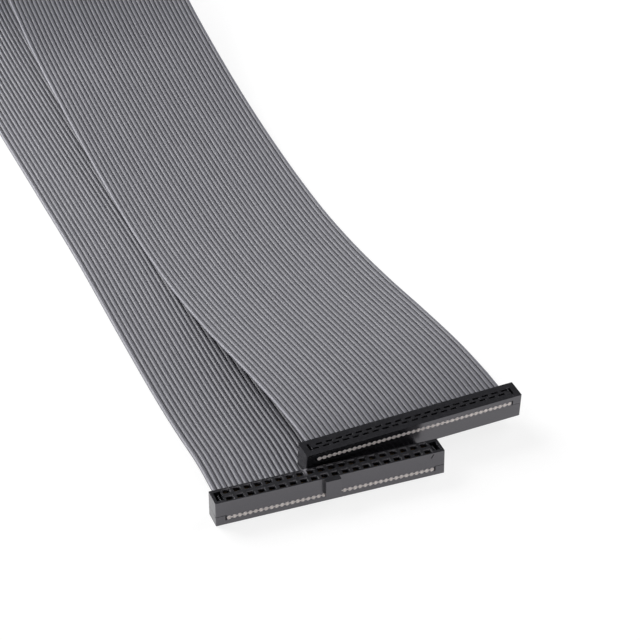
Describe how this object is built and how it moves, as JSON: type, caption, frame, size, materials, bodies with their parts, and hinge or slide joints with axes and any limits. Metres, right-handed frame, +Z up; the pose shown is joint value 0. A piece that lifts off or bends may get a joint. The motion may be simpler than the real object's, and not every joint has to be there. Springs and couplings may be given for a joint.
{
  "type": "idc ribbon cable",
  "caption": "Flat grey ribbon cable folded back in a U bend, with a black two-row insulation-displacement socket clamped on each end.",
  "frame": {"origin": "middle of the lower cover's outer face, which lies on the table", "axes": "+X along the lower socket, +Y from its key side towards the ribbon, +Z up"},
  "size_m": [0.0808, 0.312, 0.0416],
  "materials": {
    "ribbon_pvc": "grey PVC insulation with a soft sheen",
    "socket_black": "moulded black glass-filled polyester, satin",
    "contact_metal": "plated copper alloy"
  },
  "bodies": {
    "root": {"ribbon_cable": "ribbon_pvc", "lower_socket_body": "socket_black", "lower_socket_cover": "socket_black", "upper_socket_body": "socket_black", "upper_socket_cover": "socket_black", "lower_contact_front_01": "contact_metal", "lower_contact_front_02": "contact_metal", "lower_contact_front_03": "contact_metal", "lower_contact_front_04": "contact_metal", "lower_contact_front_05": "contact_metal", "lower_contact_front_06": "contact_metal", "lower_contact_front_07": "contact_metal", "lower_contact_front_08": "contact_metal", "lower_contact_front_09": "contact_metal", "lower_contact_front_10": "contact_metal", "lower_contact_front_11": "contact_metal", "lower_contact_front_12": "contact_metal", "lower_contact_front_13": "contact_metal", "lower_contact_front_14": "contact_metal", "lower_contact_front_15": "contact_metal", "lower_contact_front_16": "contact_metal", "lower_contact_front_17": "contact_metal", "lower_contact_front_18": "contact_metal", "lower_contact_front_19": "contact_metal", "lower_contact_front_20": "contact_metal", "lower_contact_back_01": "contact_metal", "lower_contact_back_02": "contact_metal", "lower_contact_back_03": "contact_metal", "lower_contact_back_04": "contact_metal", "lower_contact_back_05": "contact_metal", "lower_contact_back_06": "contact_metal", "lower_contact_back_07": "contact_metal", "lower_contact_back_08": "contact_metal", "lower_contact_back_09": "contact_metal", "lower_contact_back_10": "contact_metal", "lower_contact_back_11": "contact_metal", "lower_contact_back_12": "contact_metal", "lower_contact_back_13": "contact_metal", "lower_contact_back_14": "contact_metal", "lower_contact_back_15": "contact_metal", "lower_contact_back_16": "contact_metal", "lower_contact_back_17": "contact_metal", "lower_contact_back_18": "contact_metal", "lower_contact_back_19": "contact_metal", "lower_contact_back_20": "contact_metal"}
  },
  "joints": []
}
